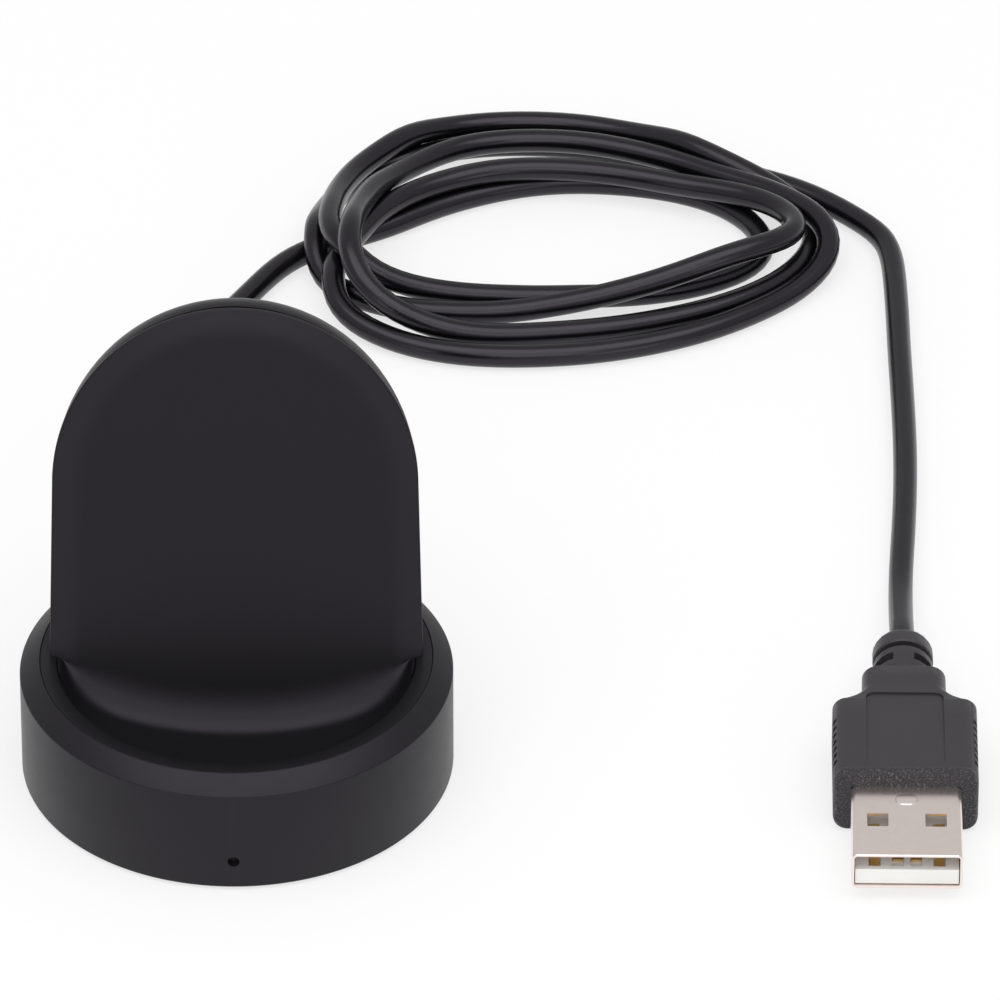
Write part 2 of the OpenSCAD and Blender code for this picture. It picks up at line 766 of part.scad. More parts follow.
// How far in from the base wall each point of the cord's two wires is
wire_in = [1, 4.5, 7.25, 9.85, 9.85];
core_x = [-0.55, 0.55];
core_side = 3;
module cord_wires() {
    color([0.75, 0.12, 0.1])
    for (x = core_x)
        tube(smooth_route([
            [x, base_in_r - wire_in[0], relief_z],
            [x, base_in_r - wire_in[1], relief_z],
            [x * 2, base_in_r - wire_in[2], relief_z - wire_r],
            [x * 4 - core_side, base_in_r - wire_in[3], board_top + wire_end[0] - wire_r],
            [x * 4 - core_side, base_in_r - wire_in[4], board_top + wire_end[1]]
        ], 2), wire_r, tube_sides);
}

module cord_lead() {
    color([0.12, 0.12, 0.125]) tube(smooth_route(lead_route, 2), cord_d / 2, tube_sides);
}

module cord_tail() {
    color([0.12, 0.12, 0.125]) tube(smooth_route(tail_route, 2), cord_d / 2, tube_sides);
}

// Rounded oval, as points of a power curve
module oval(half) {
    polygon([for (i = [0:coil_steps - 1]) let(a = 360 * i / coil_steps) [
        half[0] * sign(cos(a)) * pow(abs(cos(a)), 2 / coil_power),
        half[1] * sign(sin(a)) * pow(abs(sin(a)), 2 / coil_power)
    ]]);
}

// Space that a cord comes through, from its end point onwards along its way
module cord_way(from, dir) {
    wide = cord_d + 2 * cord_gap;
    translate([from[0], from[1], -cut_over]) rotate([0, 0, atan2(dir[1], dir[0])])
        translate([-cord_gap, -wide / 2, 0]) cube([4 * cord_d, wide, coil_high + 2 * cut_over]);
}

module cord_coil() {
    color([0.12, 0.12, 0.125])
    difference() {
        translate([coil_mid[0], coil_mid[1], 0]) linear_extrude(coil_high) difference() {
            oval(coil_half);
            oval(coil_open);
        }
        cord_way(lead_end, lead_before - lead_end);
        cord_way(tail_start, tail_next - tail_start);
    }
}

// Places a child in the plug's own frame: +Y back towards the cord, z from the middle of the plug
module at_plug() {
    translate([plug_x, plug_y, plug_mid]) rotate([0, 0, plug_turn]) children();
}

// Block with rounded long edges that runs back from a start
module plug_block(w, t, start, length, round_r) {
    translate([0, start + length, 0]) rotate([90, 0, 0]) linear_extrude(length) {
        square([w - 2 * round_r, t], center = true);
        square([w, t - 2 * round_r], center = true);
        for (x = [-1, 1]) for (z = [-1, 1])
            translate([x * (w / 2 - round_r), z * (t / 2 - round_r)]) circle(r = round_r, $fn = 32);
    }
}

module plug_body() {
    edge_r = 1.6;
    grip_count = 6;
    grip_start = 3.4;
    grip_pitch = 1.1;
    grip_w = 0.5;
    grip_deep = 0.35;
    panel = [8.4, 11.8, 0.25];
    panel_start = 2.2;
    shoulder_r = (body_w - waist_w) / 2;
    join = 0.5;
    waist_start = body_len - join;
    neck_start = body_len + shoulder_len + waist_len;
    groove_w = 0.9;
    groove_deep = 0.8;
    groove_back = 2.6;
    slot_w = 1.45;
    slot_start = 1.4;
    rib_half = neck_d / 6;
    seat_r = 0.4;
    bore_deep = 0.5;
    color([0.25, 0.245, 0.26])
    at_plug() difference() {
        union() {
            plug_block(body_w, body_t, 0, body_len, edge_r);
            // Hollow shoulders that lead to the waist
            difference() {
                plug_block(body_w, waist_t, waist_start, shoulder_r + join, edge_r);
                for (x = [-1, 1]) translate([x * body_w / 2, body_len + shoulder_r, -body_t])
                    cylinder(h = 2 * body_t, r = shoulder_r, $fn = 64);
            }
            plug_block(waist_w, waist_t, waist_start, neck_start - waist_start, edge_r);
            translate([0, neck_end, 0]) rotate([90, 0, 0])
                cylinder(h = neck_end - neck_start + join, d = neck_d, $fn = 64);
        }
        // Recessed panel on both faces
        for (z = [-1, 1]) translate([0, panel_start, z * (body_t / 2 - panel[2] / 2)])
            plug_panel(panel);
        // Ribs for the fingers on both sides
        for (x = [-1, 1]) for (i = [0:grip_count - 1])
            translate([x * body_w / 2 - grip_deep, grip_start + grip_pitch * i, -body_t / 4])
                cube([2 * grip_deep, grip_w, body_t / 2]);
        // One full groove and one split groove round the neck
        neck_groove(neck_end - groove_back, groove_w, groove_deep);
        difference() {
            neck_groove(neck_start + slot_start, slot_w, groove_deep);
            translate([-rib_half, neck_start, -neck_d])
                cube([2 * rib_half, slot_start + 2 * slot_w, 2 * neck_d]);
        }
        // Seat of the metal shell
        translate([0, -cut_over, 0]) plug_block(shell_w, shell_h, 0, seat_deep + cut_over, seat_r);
        // Bore that the cord ends in
        translate([0, neck_end + cut_over, 0]) rotate([90, 0, 0])
            cylinder(h = bore_deep + cut_over, d = cord_d + 2 * cord_gap, $fn = 32);
    }
}

module plug_panel(size) {
    corner_r = 1.2;
    face_over = 0.02;
    translate([0, size[1] / 2, 0]) linear_extrude(size[2] + face_over, center = true) {
        square([size[0] - 2 * corner_r, size[1]], center = true);
        square([size[0], size[1] - 2 * corner_r], center = true);
        for (x = [-1, 1]) for (y = [-1, 1])
            translate([x * (size[0] / 2 - corner_r), y * (size[1] / 2 - corner_r)])
                circle(r = corner_r, $fn = 32);
    }
}

module neck_groove(y, w, deep) {
    translate([0, y, 0]) rotate([90, 0, 0]) difference() {
        cylinder(h = w, d = neck_d + cut_over, $fn = 64);
        translate([0, 0, -cut_over]) cylinder(h = w + 2 * cut_over, d = neck_d - 2 * deep, $fn = 64);
    }
}

module plug_shell() {
    window = 2.3;
    window_x = 3.15;
    window_y = 5.2;
    fold_r = 0.4;
    bead = [1.2, 1.4, 0.15];
    bead_y = 1.6;
    whole = shell_len + seat_deep;
    color([0.78, 0.76, 0.77])
    at_plug() translate([0, -shell_len, 0]) difference() {
        plug_block(shell_w, shell_h, 0, whole - cord_gap, fold_r);
        translate([0, -cut_over, 0]) plug_block(
            shell_w - 2 * shell_t, shell_h - 2 * shell_t, 0, whole + 2 * cut_over, fold_r / 2
        );
        for (x = [-1, 1])
            translate([x * window_x - window / 2, window_y, -shell_h])
                cube([window, window, 2 * shell_h]);
    }
    // Oval bead pressed up in the middle of the top sheet
    color([0.78, 0.76, 0.77])
    at_plug() translate([0, -bead_y, shell_h / 2]) linear_extrude(bead[2]) {
        square([bead[0], bead[1]], center = true);
        for (x = [-1, 1]) translate([x * bead[0] / 2, 0]) circle(d = bead[1], $fn = 32);
    }
}

// White tongue inside the metal shell, with a slot for each contact
tongue_t = 1.9;
tongue_back = 0.4;
in_w = shell_w - 2 * shell_t - 2 * fit_gap;
in_h = shell_h - 2 * shell_t - 2 * fit_gap;
block_len = 2;
slot_deep = 0.25;
contact_w = 1.1;
contact_gap = 0.1;
contact_t = 0.3;
contact_xs = [-3.5, -1, 1, 3.5];
long_start = 1.1;
long_len = 7.4;
short_start = 2.1;
short_len = 6.4;
module plug_insulator() {
    slot_z = -in_h / 2 + tongue_t - slot_deep;
    slot_half = contact_w / 2 + contact_gap;
    color([0.93, 0.93, 0.92])
    at_plug() translate([0, -shell_len, 0]) difference() {
        union() {
            translate([-in_w / 2, tongue_back, -in_h / 2]) cube([in_w, shell_len, tongue_t]);
            translate([-in_w / 2, shell_len - block_len, -in_h / 2])
                cube([in_w, block_len + seat_deep - cut_over, in_h]);
        }
        for (x = contact_xs) translate([x - slot_half, long_start - contact_gap, slot_z])
            cube([2 * slot_half, long_len + 2 * contact_gap, cut_over]);
    }
}

// The two outer contacts are longer than the two inner ones
module plug_contacts() {
    bed_z = -in_h / 2 + tongue_t - slot_deep;
    color([0.85, 0.68, 0.3])
    at_plug() translate([0, -shell_len, 0]) for (x = contact_xs) {
        outer = abs(x) > contact_w;
        translate([x - contact_w / 2, outer ? long_start : short_start, bed_z])
            cube([contact_w, outer ? long_len : short_len, contact_t]);
    }
}

base_ring();
cradle_front();
cradle_back();
base_cover();
cover_screws();
foot_pad();
light_pipe();
status_led();
circuit_board();
controller_chip();
drive_transistors();
resonant_capacitors();
filter_inductor();
small_parts();
charging_coil();
ferrite_plate();
alignment_magnet();
coil_bracket();
bracket_screws();
coil_leads();
cable_grommet();
cord_wires();
cord_lead();
cord_coil();
cord_tail();
plug_body();
plug_shell();
plug_insulator();
plug_contacts();
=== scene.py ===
"""Looks of the watch charging dock: plastics, the lead in its loose coil, the plug, camera and light."""

import json
import math

import bmesh
import bpy
import numpy as np
from mathutils import Matrix, Vector


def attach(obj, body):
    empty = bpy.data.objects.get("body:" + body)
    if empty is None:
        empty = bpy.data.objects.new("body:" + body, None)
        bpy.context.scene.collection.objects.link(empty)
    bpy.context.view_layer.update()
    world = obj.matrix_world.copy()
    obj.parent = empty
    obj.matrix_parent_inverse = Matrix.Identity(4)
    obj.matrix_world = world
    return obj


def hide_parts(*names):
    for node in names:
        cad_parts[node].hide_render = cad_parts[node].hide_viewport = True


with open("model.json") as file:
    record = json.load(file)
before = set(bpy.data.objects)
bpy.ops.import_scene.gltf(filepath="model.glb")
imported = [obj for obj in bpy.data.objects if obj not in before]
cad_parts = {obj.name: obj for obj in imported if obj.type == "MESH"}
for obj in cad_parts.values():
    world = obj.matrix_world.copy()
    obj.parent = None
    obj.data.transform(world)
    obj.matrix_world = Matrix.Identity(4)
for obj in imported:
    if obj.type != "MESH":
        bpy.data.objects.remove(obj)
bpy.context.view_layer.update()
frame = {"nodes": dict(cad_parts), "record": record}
nodes = frame["nodes"]

# Sizes below are in millimetres, as in the part's source. Meshes are made in them and scaled to metres.
MM = 0.001

BASE_R = 23.65
BASE_H = 14.16
BASE_WALL = 1.8
BASE_LIFT = 0.3
CHAMFER_W = 2.23
CHAMFER_H = 1.71
LEDGE_W = 1.92
LEDGE_R = BASE_R - CHAMFER_W
TROUGH_R = LEDGE_R - LEDGE_W
FIT_GAP = 0.1
LEDGE_Z = BASE_H - FIT_GAP
LEDGE_T = 1.5
TROUGH_FLOOR = 7.0
LIGHT_Z = 3.82
LIGHT_D = 1.3
RELIEF_Z = 5.2
RELIEF_HOLE_D = 5.2
RELIEF_LEN = 9.0

LEAN = math.radians(18)
PART_Y = 0.6
FOOT_HALF = 20.36
ARCH_R = 19.9
ARCH_UP = 19.35
RIM_T = 0.45
BEVEL_W = 3.0
BEVEL_T = 0.7
PAD_FACE = RIM_T + BEVEL_T
PAD_SINK = 0.8
PAD_FOOT = -PAD_FACE * math.tan(LEAN)
PLATEAU_INSET = 3.4
HOLLOW_REACH = 2.3
SHELL_STEP = 0.15
SEAM = 0.5
CROWN_Z = 40.84

CORD_D = 2.75
PLUG_AT = (72.8, -13.9, 3.85)
PLUG_TURN = math.radians(-0.9)
BODY_W, BODY_T, BODY_LEN = 15.8, 7.7, 14.2
WAIST_W, WAIST_T, WAIST_LEN = 9.2, 7.0, 4.6
SHOULDER_LEN = 3.3
NECK_D = 6.7
NECK_END = 28.0
GRIP_BACK = 0.8
SHELL_W, SHELL_H, SHELL_LEN, SHELL_T = 12.0, 4.5, 11.6, 0.3


class Value:
    """A shader socket that adds, multiplies and compares like a number."""

    def __init__(self, tree, socket):
        self.tree = tree
        self.socket = socket

    def math(self, kind, other=None, third=None):
        values = [v for v in (self, other, third) if v is not None]
        return self.tree.add("ShaderNodeMath", {"operation": kind}, values)

    def __add__(self, other):
        return self.math("ADD", other)

    __radd__ = __add__

    def __mul__(self, other):
        return self.math("MULTIPLY", other)

    __rmul__ = __mul__

    def __sub__(self, other):
        return self.math("SUBTRACT", other)

    def __rsub__(self, other):
        return self.tree.add("ShaderNodeMath", {"operation": "SUBTRACT"}, [other, self])

    def __truediv__(self, other):
        return self.math("DIVIDE", other)

    def over(self, limit):
        return self.math("GREATER_THAN", limit)

    def smooth(self, low, high):
        return self.tree.add(
            "ShaderNodeMapRange",
            {"interpolation_type": "SMOOTHSTEP", "clamp": True},
            [self, low, high, 0.0, 1.0],
        )


class Shader:
    """One material with its main surface shader."""

    def __init__(self, name):
        self.material = bpy.data.materials.new(name)
        self.material.use_nodes = True
        self.tree = self.material.node_tree
        self.surface = self.tree.nodes["Principled BSDF"]

    def add(self, kind, settings=None, inputs=(), output=0):
        """A node of a kind, with its settings, and its inputs as values, links or a name-to-input table."""
        node = self.tree.nodes.new(kind)
        for key, value in (settings or {}).items():
            setattr(node, key, value)
        pairs = inputs.items() if isinstance(inputs, dict) else enumerate(inputs)
        for key, value in pairs:
            self.feed(node.inputs[key], value)
        return Value(self, node.outputs[output])

    def feed(self, socket, value):
        if isinstance(value, Value):
            self.tree.links.new(value.socket, socket)
        elif value is not None:
            socket.default_value = value

    def place(self):
        """Where a point is on the object, in metres."""
        return self.add("ShaderNodeTexCoord", output="Object")

    def noise(self, size, detail=3.0, roughness=0.55, at=None):
        """Cloudy pattern from 0 to 1, with clouds about that many metres across."""
        return self.add(
            "ShaderNodeTexNoise",
            inputs={
                "Vector": at or self.place(),
                "Scale": 1.0 / size,
                "Detail": detail,
                "Roughness": roughness,
            },
        )

    def mix(self, share, first, second):
        """Colour between two colours."""
        node = self.tree.nodes.new("ShaderNodeMix")
        node.data_type = "RGBA"
        self.feed(node.inputs[0], share)
        self.feed(node.inputs[6], first)
        self.feed(node.inputs[7], second)
        return Value(self, node.outputs[2])

    def bump(self, height, distance, strength=1.0):
        return self.add(
            "ShaderNodeBump", inputs={"Strength": strength, "Distance": distance, "Height": height}
        )

    def edges(self, low=0.5, high=0.56):
        """Share of painted edge highlight: 0 on flat faces, 1 on outer edges."""
        sharp = self.add("ShaderNodeNewGeometry", output="Pointiness")
        return sharp.smooth(low, high)

    def set(self, **inputs):
        """Feeds the surface shader. Words are its input names with _ for a space."""
        for key, value in inputs.items():
            self.feed(self.surface.inputs[key.replace("_", " ")], value)
        return self.material


def grey(level, tint=(1.0, 1.0, 1.0)):
    return tuple(level * t for t in tint) + (1.0,)


def moulded(name, level, tint, rough, grain=0.00018, depth=0.000004, shine=0.5, edge_highlight=0.0):
    """Moulded plastic or rubber: slight clouds of tone, fine grain, polished patches, and where asked a
    painted highlight that lightens its outer edges.
    """
    s = Shader(name)
    clouds = s.noise(0.009, 2.0)
    fine = s.noise(grain, 2.0)
    rub = s.noise(0.0035, 4.0, 0.65)
    tone = s.mix(clouds, grey(level * 0.9, tint), grey(level * 1.1, tint))
    # Painted highlight: outer edges are lightened in colour to stand for their bright reflections.
    if edge_highlight:
        tone = s.mix(s.edges() * edge_highlight, tone, grey(level * 2.2, tint))
    return s.set(
        Base_Color=tone,
        Roughness=rough + (rub - 0.5) * 0.10 + (fine - 0.5) * 0.05,
        Specular_IOR_Level=shine,
        Specular_Tint=grey(1.0, tint),
        Normal=s.bump(fine + rub * 0.3, depth),
    )


def metal(name, colour, rough, brushed=0.00012):
    """Plated sheet metal with fine drawn lines, small dull spots and clouded tone."""
    s = Shader(name)
    along = s.add("ShaderNodeMapping", inputs={"Vector": s.place(), "Scale": (1.0, 0.08, 1.0)})
    lines = s.noise(brushed, 3.0, 0.6, along)
    spots = s.noise(0.0016, 4.0, 0.6)
    dull = tuple(c * 0.9 for c in colour[:3]) + (1.0,)
    return s.set(
        Base_Color=s.mix(spots, colour, dull),
        Metallic=1.0,
        Roughness=rough + (lines - 0.5) * 0.08 + (spots - 0.5) * 0.06,
        Normal=s.bump(lines, 0.0000005),
    )


def laminate(name):
    """Green lacquered board with darker tracks under the lacquer."""
    s = Shader(name)
    tracks = s.add(
        "ShaderNodeTexBrick",
        {"offset": 0.5},
        {"Vector": s.place(), "Scale": 220.0, "Mortar Size": 0.09},
        output="Fac",
    )
    fine = s.noise(0.0004, 2.0)
    return s.set(
        Base_Color=s.mix(tracks, (0.008, 0.09, 0.04, 1), (0.02, 0.16, 0.07, 1)),
        Roughness=0.32 + fine * 0.12,
        Normal=s.bump(tracks + fine * 0.2, 0.00002),
    )


def wound(name):
    """Lacquered copper strands, in fine ridges, a little uneven in tone."""
    s = Shader(name)
    strands = s.noise(0.00022, 3.0, 0.7)
    tone = s.noise(0.003, 2.0)
    return s.set(
        Base_Color=s.mix(tone, (0.55, 0.2, 0.07, 1), (0.75, 0.34, 0.14, 1)),
        Metallic=0.85,
        Roughness=0.3 + strands * 0.2,
        Normal=s.bump(strands, 0.00002),
    )


def shaded_clear_rod(name):
    """Clear light rod, coloured near black as painted shade for the darkness seen into it, so that from its
    end it shows as a dark glassy dot.
    """
    s = Shader(name)
    haze = s.noise(0.0005, 2.0)
    # Painted shade: a near-black colour in place of the clear rod's own look.
    return s.set(
        Base_Color=s.mix(haze, grey(0.012), grey(0.02)),
        Roughness=0.12 + haze * 0.1,
        Coat_Weight=0.3,
        Normal=s.bump(haze, 0.000004),
    )


def grip_plastic(name, level, tint):
    """Moulded grip: fine grain, and a coarse sparked finish on its front rim and its sides, which is darker
    in colour there and carries pale specks as painted glints.
    """
    s = Shader(name)
    split = s.add("ShaderNodeSeparateXYZ", inputs=[s.place()])
    across, away = split, Value(s, split.socket.node.outputs["Y"])
    rim = 1 - away.smooth((PLUG_AT[1] + 1.7) * MM, (PLUG_AT[1] + 2.3) * MM)
    side = (across - PLUG_AT[0] * MM).math("ABSOLUTE").smooth(7.45 * MM, 7.7 * MM)
    sparked = rim.math("MAXIMUM", side)
    fine = s.noise(0.00022, 2.0)
    coarse = s.noise(0.0002, 2.0, 0.6)
    clouds = s.noise(0.006, 2.0)
    tone = s.mix(clouds, grey(level * 0.93, tint), grey(level * 1.07, tint))
    # Painted glints: the specks are made pale in colour to stand for small highlights; they are also less
    # rough.
    painted_glint_specks = coarse.smooth(0.5, 0.75) * sparked
    return s.set(
        Base_Color=s.mix(painted_glint_specks, s.mix(sparked, tone, grey(level * 0.5, tint)), grey(level * 5.0, tint)),
        Roughness=0.42 + (fine - 0.5) * 0.06 + sparked * 0.08 - painted_glint_specks * 0.2,
        Normal=s.bump(fine * 0.04 + coarse * sparked, 0.0002),
    )


def cord_skin(name):
    """Smooth black sheath of the lead: faint ripple from extrusion and dusty dull patches."""
    s = Shader(name)
    ripple = s.noise(0.0011, 2.0, 0.4)
    dust = s.noise(0.012, 3.0)
    fine = s.noise(0.00012, 2.0)
    return s.set(
        Base_Color=s.mix(dust, grey(0.0022, BLACK_TINT), grey(0.004, BLACK_TINT)),
        Roughness=0.25 + (dust - 0.5) * 0.10 + (fine - 0.5) * 0.06,
        Specular_IOR_Level=0.45,
        Specular_Tint=grey(1.0, BLACK_TINT),
        Normal=s.bump(ripple + fine * 0.1, 0.00001),
    )


BLACK_TINT = (1.0, 0.93, 1.08)
MATERIALS = {
    # base_plastic has a painted highlight along its outer edges.
    "base_plastic": moulded("base_plastic", 0.0045, BLACK_TINT, 0.40, shine=0.3, edge_highlight=0.3),
    # Painted shade: the cradle's plastic is made a little darker than the base's, for the deep shade in its
    # trough.
    "cradle_plastic": moulded("cradle_plastic", 0.0035, BLACK_TINT, 0.42, shine=0.3),
    "rear_shell_plastic": moulded("rear_shell_plastic", 0.0045, BLACK_TINT, 0.40, shine=0.3),
    "cover_plastic": moulded("cover_plastic", 0.008, BLACK_TINT, 0.5, shine=0.3),
    "foot_rubber": moulded("foot_rubber", 0.013, (1, 1, 1), 0.75, grain=0.0003, depth=0.00001),
    "grommet_rubber": moulded("grommet_rubber", 0.016, BLACK_TINT, 0.5),
    "plug_overmould": grip_plastic("plug_overmould", 0.027, (1.04, 0.93, 1.1)),
    "plug_insulation": moulded("plug_insulation", 0.82, (1.0, 0.995, 0.97), 0.35),
    "bracket_plastic": moulded("bracket_plastic", 0.6, (1.0, 0.97, 0.9), 0.45),
    "wire_insulation": moulded("wire_insulation", 0.3, (1.0, 0.12, 0.1), 0.4),
    "chip_resin": moulded("chip_resin", 0.012, (1, 1, 1), 0.6, grain=0.00008),
    "capacitor_ceramic": moulded("capacitor_ceramic", 0.35, (1.0, 0.72, 0.45), 0.45, grain=0.0001),
    "ferrite": moulded("ferrite", 0.05, (1.0, 0.98, 1.02), 0.55, grain=0.0001),
    "led_resin": moulded("led_resin", 0.75, (1.0, 0.97, 0.8), 0.2, grain=0.0001),
    "screw_steel": metal("screw_steel", (0.62, 0.62, 0.64, 1), 0.32),
    "magnet_nickel": metal("magnet_nickel", (0.72, 0.70, 0.66, 1), 0.2),
    "plug_steel": metal("plug_steel", (0.97, 0.86, 0.82, 1), 0.25),
    "contact_gold": metal("contact_gold", (0.85, 0.60, 0.25, 1), 0.25),
    "board_laminate": laminate("board_laminate"),
    "copper_winding": wound("copper_winding"),
    "clear_plastic": shaded_clear_rod("clear_plastic"),
    "cord_jacket": cord_skin("cord_jacket"),
}


def finish_nodes():
    """Gives every node that stays from the frame its own finish."""
    for part in frame["record"]["subparts"]:
        node = nodes[part["node"]]
        node.data.materials.clear()
        node.data.materials.append(MATERIALS[part["material_slot"]])


def piece(name, verts, faces, slot, replaced=(), angle=35, at=None):
    """A mesh piece from points in millimetres, smooth but for its sharp edges."""
    mesh = bpy.data.meshes.new(name)
    mesh.from_pydata([tuple(v) for v in verts], [], faces)
    place = Matrix.Scale(MM, 4) @ (at or Matrix.Identity(4))
    mesh.transform(place)
    work = bmesh.new()
    work.from_mesh(mesh)
    bmesh.ops.remove_doubles(work, verts=work.verts, dist=2e-7)
    bmesh.ops.recalc_face_normals(work, faces=work.faces)
    work.to_mesh(mesh)
    work.free()
    mesh.materials.append(MATERIALS[slot])
    thing = bpy.data.objects.new(name, mesh)
    bpy.context.scene.collection.objects.link(thing)
    soften(thing, angle)
    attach(thing, "root")
    if replaced:
        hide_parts(*replaced)
    return thing


def soften(thing, angle=35):
    thing.data.polygons.foreach_set("use_smooth", [True] * len(thing.data.polygons))
    thing.data.set_sharp_from_angle(angle=math.radians(angle))


def join_parts(parts):
    """Several lists of points and faces as one."""
    verts, faces = [], []
    for more_verts, more_faces in parts:
        start = len(verts)
        verts += [tuple(v) for v in more_verts]
        faces += [tuple(start + i for i in face) for face in more_faces]
    return verts, faces


def sheet_of(rows, closed=False):
    """Faces between rows of points. closed joins the last point of each row to the first."""
    count = len(rows[0])
    verts = [tuple(p) for row in rows for p in row]
    faces = []
    for i in range(len(rows) - 1):
        for j in range(count if closed else count - 1):
            k = (j + 1) % count
            faces.append((i * count + j, i * count + k, (i + 1) * count + k, (i + 1) * count + j))
    return verts, faces


def rounded(corners, radii, steps=5, closed=False):
    """A 2D outline with each corner rounded by its radius."""
    line = []
    count = len(corners)
    for i, corner in enumerate(corners):
        radius = radii[i] if hasattr(radii, "__len__") else radii
        if radius == 0 or (not closed and i in (0, count - 1)):
            line.append(tuple(corner))
            continue
        here = Vector(corner)
        before = Vector(corners[i - 1]) - here
        after = Vector(corners[(i + 1) % count]) - here
        bend = before.angle(after)
        reach = min(radius / math.tan(bend / 2), before.length * 0.49, after.length * 0.49)
        a, b = here + before.normalized() * reach, here + after.normalized() * reach
        weight = math.sin(bend / 2)
        for s in range(steps + 1):
            t = s / steps
            parts = (1 - t) ** 2, 2 * t * (1 - t) * weight, t * t
            total = sum(parts)
            point = (a * parts[0] + here * parts[1] + b * parts[2]) / total
            line.append(tuple(point))
    return line


def lathe(profile, steps=192, start=0.0, sweep=360.0, closed=False):
    """Turns a profile of radius and height about Z."""
    whole = sweep >= 360.0
    turns = steps if whole else steps + 1
    rows = []
    ring = list(profile) + ([profile[0]] if closed else [])
    for radius, height in ring:
        row = []
        for k in range(turns):
            angle = math.radians(start + sweep * k / steps)
            row.append((radius * math.cos(angle), radius * math.sin(angle), height))
        rows.append(row)
    return sheet_of(rows, closed=whole)


def cut(thing, cutters):
    """Cuts other closed meshes out of a piece, and drops them."""
    for verts, faces in cutters:
        mesh = bpy.data.meshes.new("cutter")
        mesh.from_pydata([tuple(v) for v in verts], [], faces)
        mesh.transform(Matrix.Scale(MM, 4))
        work = bmesh.new()
        work.from_mesh(mesh)
        bmesh.ops.recalc_face_normals(work, faces=work.faces)
        work.to_mesh(mesh)
        work.free()
        tool = bpy.data.objects.new("cutter", mesh)
        bpy.context.scene.collection.objects.link(tool)
        change = thing.modifiers.new("cut", "BOOLEAN")
        change.operation, change.solver, change.object = "DIFFERENCE", "EXACT", tool
        graph = bpy.context.evaluated_depsgraph_get()
        made = bpy.data.meshes.new_from_object(thing.evaluated_get(graph))
        thing.modifiers.clear()
        old = thing.data
        thing.data = made
        bpy.data.meshes.remove(old)
        bpy.data.objects.remove(tool)
    soften(thing)


def rod(radius, length, place, steps=48, shape=None):
    """A closed straight rod along its own Z, moved by a place matrix."""
    outline = shape or [
        (radius * math.cos(2 * math.pi * k / steps), radius * math.sin(2 * math.pi * k / steps))
        for k in range(steps)
    ]
    count = len(outline)
    verts = [place @ Vector((x, y, z)) for z in (0.0, length) for x, y in outline]
    faces = [tuple(range(count - 1, -1, -1)), tuple(range(count, 2 * count))]
    faces += [(k, (k + 1) % count, count + (k + 1) % count, count + k) for k in range(count)]
    return verts, faces


def box_outline(width, depth, radius, steps=5):
    """A rectangle with round corners, centred."""
    w, d = width / 2, depth / 2
    return rounded([(-w, -d), (w, -d), (w, d), (-w, d)], radius, steps, closed=True)


def make_camera():
    """Camera fitted to the rings of the base, the pad and the plug of the photograph."""
    data = bpy.data.cameras.new("camera")
    camera = bpy.data.objects.new("camera", data)
    bpy.context.scene.collection.objects.link(camera)
    camera.location = (0.028741, -1.014200, 0.751303)
    camera.rotation_euler = (math.radians(54.764), 0, 0)
    data.sensor_width = 36.0
    data.lens = 413.99
    data.clip_start, data.clip_end = 0.05, 20
    bpy.context.scene.camera = camera
    bpy.context.scene.view_settings.view_transform = "Standard"


def floor_paper():
    """White paper. Most of what is seen of it is plain white, so that its shadows stay faint."""
    s = Shader("floor_paper")
    clouds = s.noise(0.2, 2.0)
    paper = s.set(Base_Color=s.mix(clouds, grey(0.93), grey(0.925)), Roughness=0.9)
    seen = (
        s.add("ShaderNodeLightPath", output="Is Camera Ray")
        + s.add("ShaderNodeLightPath", output="Is Glossy Ray")
        + s.add("ShaderNodeLightPath", output="Is Transmission Ray")
    )
    white = s.add("ShaderNodeEmission", inputs={"Color": (1, 1, 1, 1), "Strength": 1.0})
    lit = Value(s, s.surface.outputs["BSDF"])
    both = s.add("ShaderNodeMixShader", inputs=[seen * 0.7, lit, white])
    s.tree.links.new(both.socket, s.tree.nodes["Material Output"].inputs["Surface"])
    return paper


def make_floor():
    size = 6.0
    mesh = bpy.data.meshes.new("floor")
    corners = [(-size, -size, 0), (size, -size, 0), (size, size, 0), (-size, size, 0)]
    mesh.from_pydata(corners, [], [(0, 1, 2, 3)])
    mesh.materials.append(floor_paper())
    floor = bpy.data.objects.new("floor", mesh)
    bpy.context.scene.collection.objects.link(floor)


def make_world(strength):
    """Even white light from the walls of the room."""
    world = bpy.data.worlds.new("room")
    bpy.context.scene.world = world
    world.use_nodes = True
    walls = world.node_tree.nodes["Background"]
    walls.inputs["Color"].default_value = (1, 1, 1, 1)
    walls.inputs["Strength"].default_value = strength


def lamp(name, at, look, size, power, wide=None):
    """A soft box that looks at a point."""
    data = bpy.data.lights.new(name, "AREA")
    data.shape = "RECTANGLE"
    data.size = size
    data.size_y = wide or size
    data.energy = power
    light = bpy.data.objects.new(name, data)
    bpy.context.scene.collection.objects.link(light)
    light.location = at
    way = Vector(look) - Vector(at)
    light.rotation_euler = way.to_track_quat("-Z", "Y").to_euler()


# Route of the lead from the strain relief to the coil, and of the tail from the coil to the plug
LEAD_ROUTE = [
    (0, 29.6, 4.42), (-0.1, 32.65, 3.9), (-0.5, 36, 2.95), (-1.4, 40, 2.0), (-2.6, 45, 1.5),
    (-4, 52, 1.4), (-5.4, 60, 1.4), (-6.0, 68, 1.4), (-5.6, 75, 1.4), (-3.9, 82, 1.4),
    (-0.6, 88, 1.4), (3.7, 95.2, 1.4), (9.0, 99.7, 1.4),
]
TAIL_ROUTE = [
    (73.4, 101, 1.4), (74.3, 96, 1.4), (74.6, 90, 1.4),
    (74.7, 84, 1.4), (74.7, 78, 1.4), (74.8, 68, 1.4), (74.8, 58, 1.4), (74.6, 50, 1.4),
    (74.2, 42, 1.4), (73.7, 34, 1.5), (73.45, 28, 1.8), (73.35, 23, 2.6), (73.3, 18.5, 3.5),
    (73.25, 13.6, 3.85),
]

